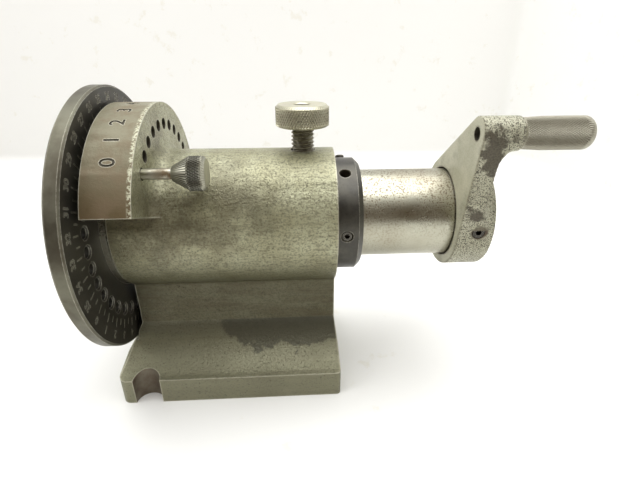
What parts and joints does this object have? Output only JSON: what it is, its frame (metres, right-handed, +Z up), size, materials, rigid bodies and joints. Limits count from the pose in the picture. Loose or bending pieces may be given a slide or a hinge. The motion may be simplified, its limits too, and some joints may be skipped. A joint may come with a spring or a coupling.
{
  "type": "collet spin indexer",
  "caption": "Cast-bodied spin indexing fixture: hollow collet spindle, index plate with plug-in pin, draw tube worked by a crank, and a knurled clamp screw.",
  "frame": {"origin": "middle of the base's underside, below the spindle axis", "axes": "+X along the spindle towards the crank, -Y towards the working side, +Z up"},
  "size_m": [0.2237, 0.127, 0.151],
  "materials": {
    "casting_paint": "worn grey-green machine paint on cast iron",
    "ground_steel": "ground steel with brown stains",
    "black_oxide": "black oxide, rubbed bright at the rim",
    "set_screw_black": "black oxide socket screw",
    "collar_black": "black oxide, oiled",
    "turned_steel": "turned steel",
    "crank_paint": "grey paint worn to brown metal",
    "knurled_steel": "knurled steel",
    "pin_steel": "drill rod, rusty near the knob",
    "knob_black": "knurled, darkened steel",
    "brass_pad": "turned brass",
    "thread_steel": "threaded steel, oily",
    "clamp_steel": "diamond knurled steel, dull"
  },
  "bodies": {
    "body": {"body_casting": "casting_paint"},
    "spindle": {"spindle": "ground_steel", "index_plate": "black_oxide", "index_plate_screw_1": "set_screw_black", "index_plate_screw_2": "set_screw_black", "index_plate_screw_3": "set_screw_black", "thrust_collar": "collar_black", "collar_set_screw_1": "set_screw_black", "collar_set_screw_2": "set_screw_black", "collet_key_screw": "turned_steel"},
    "crank": {"draw_tube": "turned_steel", "crank_arm": "crank_paint", "crank_set_screw": "set_screw_black", "grip_stud": "turned_steel", "crank_grip": "knurled_steel"},
    "index_pin": {"index_pin": "pin_steel", "index_pin_knob": "knob_black"},
    "clamp_pad": {"clamp_pad": "brass_pad"},
    "clamp_screw": {"clamp_screw": "thread_steel", "clamp_screw_head": "clamp_steel"}
  },
  "joints": [
    {"name": "spindle_turn", "type": "hinge", "parent": "body", "child": "spindle", "pos_m": [0, 0, 0.0875], "axis": [1, 0, 0], "continuous": true},
    {"name": "crank_turn", "type": "hinge", "parent": "spindle", "child": "crank", "pos_m": [0.1203, 0, 0.0875], "axis": [1, 0, 0], "continuous": true},
    {"name": "index_pin_slide", "type": "slide", "parent": "body", "child": "index_pin", "axis": [1, 0, 0], "range_m": [0, 0.032]},
    {"name": "clamp_feed", "type": "slide", "parent": "body", "child": "clamp_pad", "axis": [0, 0, 1], "range_m": [-0.00015, 0.0036]},
    {"name": "clamp_turn", "type": "hinge", "parent": "clamp_pad", "child": "clamp_screw", "pos_m": [0.0392, 0, 0.1372], "axis": [0, 0, 1], "range_deg": [-30, 720]}
  ],
  "couplings": [
    {"joint": "clamp_turn", "follows": "clamp_feed", "rad_per_m": 3463.2}
  ]
}
